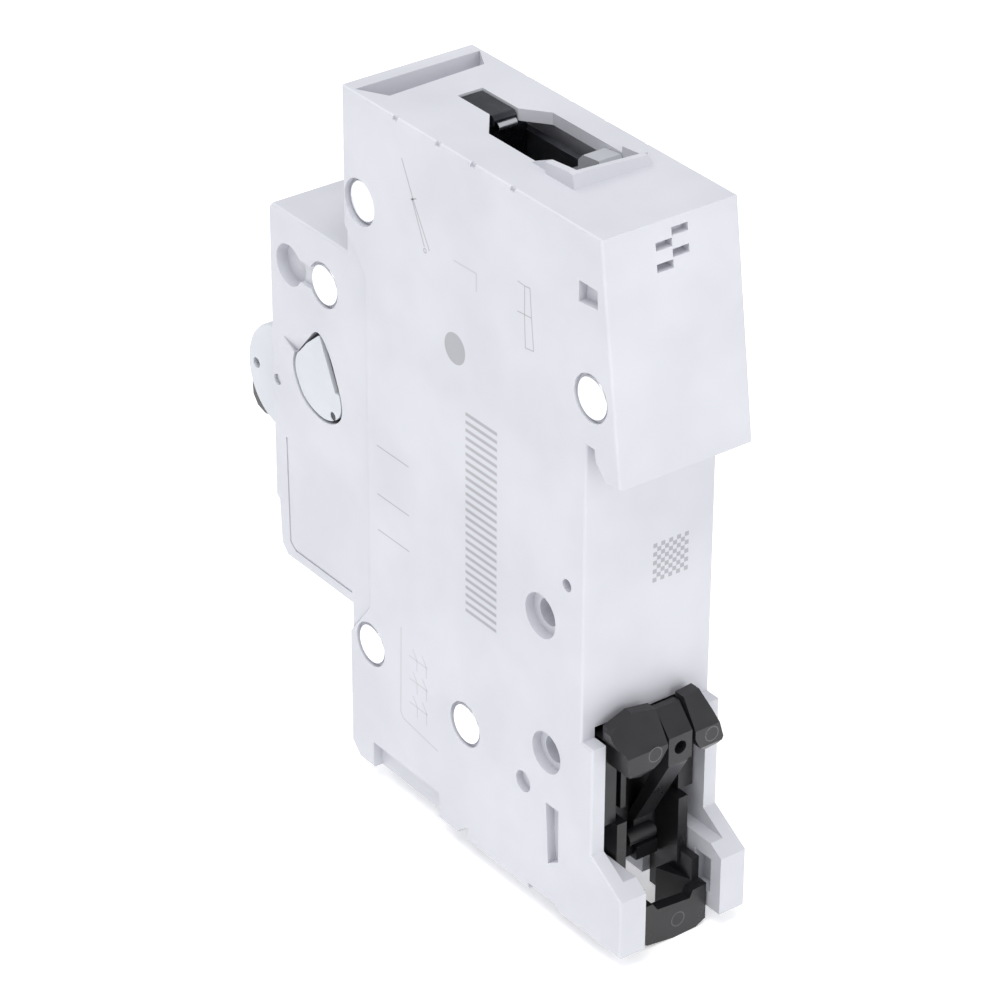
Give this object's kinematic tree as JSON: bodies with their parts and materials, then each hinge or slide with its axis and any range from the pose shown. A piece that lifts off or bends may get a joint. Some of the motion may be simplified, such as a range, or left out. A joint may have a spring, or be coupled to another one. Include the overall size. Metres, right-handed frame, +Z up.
{
  "type": "miniature circuit breaker",
  "caption": "Single-pole rail-mounted circuit breaker with a tilting toggle, screw cage terminals, sprung rail clip and its trip mechanism inside.",
  "frame": {"origin": "centre of the rail seat: middle of the width, on the seat plane, at the height of the rail centre line", "axes": "+Y points out of the back into the rail, -Y is the nose and toggle side, +Z is up with the upper terminal on top, +X is across the one-module width"},
  "size_m": [0.0176, 0.0746, 0.0889],
  "materials": {
    "case": "fine satin moulding",
    "case_toggle": "satin moulding",
    "dark_grip": "polished moulding",
    "rivet": "bright nickel plate",
    "black_moulding": "satin moulding",
    "dark_moulding": "satin moulding",
    "dark_steel": "dark plated strip",
    "steel": "zinc plated",
    "spring_steel": "drawn wire",
    "copper": "bare copper",
    "brass": "rolled strip",
    "silver": "silver alloy",
    "fibre": "vulcanised fibre",
    "flag": "satin moulding",
    "lens": "clear moulding"
  },
  "bodies": {
    "case": {"housing_right": "case", "housing_left": "case", "rivets": "rivet", "toggle_pin": "steel", "toggle_spring": "spring_steel", "mechanism_plate": "steel", "latch_pin": "steel", "trip_pin": "steel", "trip_spring": "spring_steel", "arm_pin": "steel", "fixed_contact_bar": "copper", "fixed_contact": "silver", "arc_plates": "steel", "arc_cheeks": "fibre", "upper_arc_runner": "copper", "lower_arc_runner": "copper", "coil": "copper", "coil_lead": "copper", "bobbin": "dark_moulding", "yoke": "steel", "plunger_spring": "spring_steel", "bimetal_bracket": "copper", "calibration_screw": "steel", "upper_terminal_bar": "dark_steel", "lower_terminal_bar": "dark_steel", "upper_shutter": "case_toggle", "lower_shutter": "case_toggle", "indicator_lens": "lens", "coupling_pin": "dark_steel"},
    "toggle_hub": {"toggle": "case_toggle", "toggle_cap": "dark_grip"},
    "link": {"link_rod": "spring_steel"},
    "contact_lever": {"contact_arm": "copper", "moving_contact": "silver", "contact_carrier": "dark_moulding", "contact_spring": "spring_steel"},
    "trip_lever_body": {"trip_lever": "dark_moulding"},
    "latch_body": {"latch": "dark_moulding"},
    "plunger_body": {"plunger": "steel"},
    "bimetal_body": {"bimetal": "brass", "braid": "copper"},
    "flag_body": {"position_flag": "flag"},
    "upper_cage_body": {"upper_cage": "dark_steel"},
    "upper_screw_body": {"upper_screw": "steel"},
    "lower_cage_body": {"lower_cage": "dark_steel"},
    "lower_screw_body": {"lower_screw": "steel"},
    "coupling_lever_body": {"coupling_lever": "case_toggle"},
    "clip_body": {"din_clip": "black_moulding"}
  },
  "joints": [
    {"name": "toggle_tilt", "type": "hinge", "parent": "case", "child": "toggle_hub", "pos_m": [0, -0.0572, 0.0003], "axis": [-1, 0, 0], "range_deg": [0, 80]},
    {"name": "link_swing", "type": "hinge", "parent": "toggle_hub", "child": "link", "pos_m": [0, -0.05352, 0.00338], "axis": [-1, 0, 0], "range_deg": [-113.1, 0]},
    {"name": "arm_swing", "type": "hinge", "parent": "case", "child": "contact_lever", "pos_m": [0, -0.034, -0.014], "axis": [-1, 0, 0], "range_deg": [0, 23.81]},
    {"name": "flag_slide", "type": "slide", "parent": "case", "child": "flag_body", "axis": [0, 0, 1], "range_m": [0, 0.00381]},
    {"name": "plunger_slide", "type": "slide", "parent": "case", "child": "plunger_body", "axis": [0, -1, 0], "range_m": [0, 0.0023], "stiffness_N_per_m": 60, "deforming": ["plunger_spring"]},
    {"name": "trip_swing", "type": "hinge", "parent": "case", "child": "trip_lever_body", "pos_m": [0, -0.0365, 0.004], "axis": [1, 0, 0], "range_deg": [0, 7.2]},
    {"name": "latch_swing", "type": "hinge", "parent": "case", "child": "latch_body", "pos_m": [0, -0.038, -0.0095], "axis": [1, 0, 0], "range_deg": [0, 3.1]},
    {"name": "bimetal_bend", "type": "hinge", "parent": "case", "child": "bimetal_body", "pos_m": [-0.0046, -0.046, -0.0192], "axis": [-1, 0, 0], "range_deg": [0, 1.5], "stiffness_Nm_per_rad": 0.2},
    {"name": "upper_screw_turn", "type": "hinge", "parent": "case", "child": "upper_screw_body", "pos_m": [-0.001, -0.035, 0.035], "axis": [0, 1, 0], "range_deg": [0, 3061]},
    {"name": "upper_cage_lift", "type": "slide", "parent": "case", "child": "upper_cage_body", "axis": [0, -1, 0], "range_m": [0, 0.0068]},
    {"name": "lower_screw_turn", "type": "hinge", "parent": "case", "child": "lower_screw_body", "pos_m": [-0.001, -0.035, -0.035], "axis": [0, 1, 0], "range_deg": [0, 3061]},
    {"name": "lower_cage_lift", "type": "slide", "parent": "case", "child": "lower_cage_body", "axis": [0, -1, 0], "range_m": [0, 0.0068]},
    {"name": "coupling_swing", "type": "hinge", "parent": "case", "child": "coupling_lever_body", "pos_m": [0.0081, -0.0463, 0.0004], "axis": [-1, 0, 0], "range_deg": [0, 2]},
    {"name": "clip_pull", "type": "slide", "parent": "case", "child": "clip_body", "axis": [0, 0, -1], "range_m": [0, 0.004], "stiffness_N_per_m": 2500}
  ],
  "couplings": [
    {"joint": "link_swing", "follows": "toggle_tilt", "ratio": -1.4125},
    {"joint": "arm_swing", "follows": "toggle_tilt", "ratio": 0.2975},
    {"joint": "flag_slide", "follows": "toggle_tilt", "m_per_rad": 0.0027216},
    {"joint": "trip_swing", "follows": "plunger_slide", "rad_per_m": 53.119},
    {"joint": "latch_swing", "follows": "plunger_slide", "rad_per_m": 22.765},
    {"joint": "upper_screw_turn", "follows": "upper_cage_lift", "rad_per_m": 7854},
    {"joint": "lower_screw_turn", "follows": "lower_cage_lift", "rad_per_m": 7854}
  ]
}
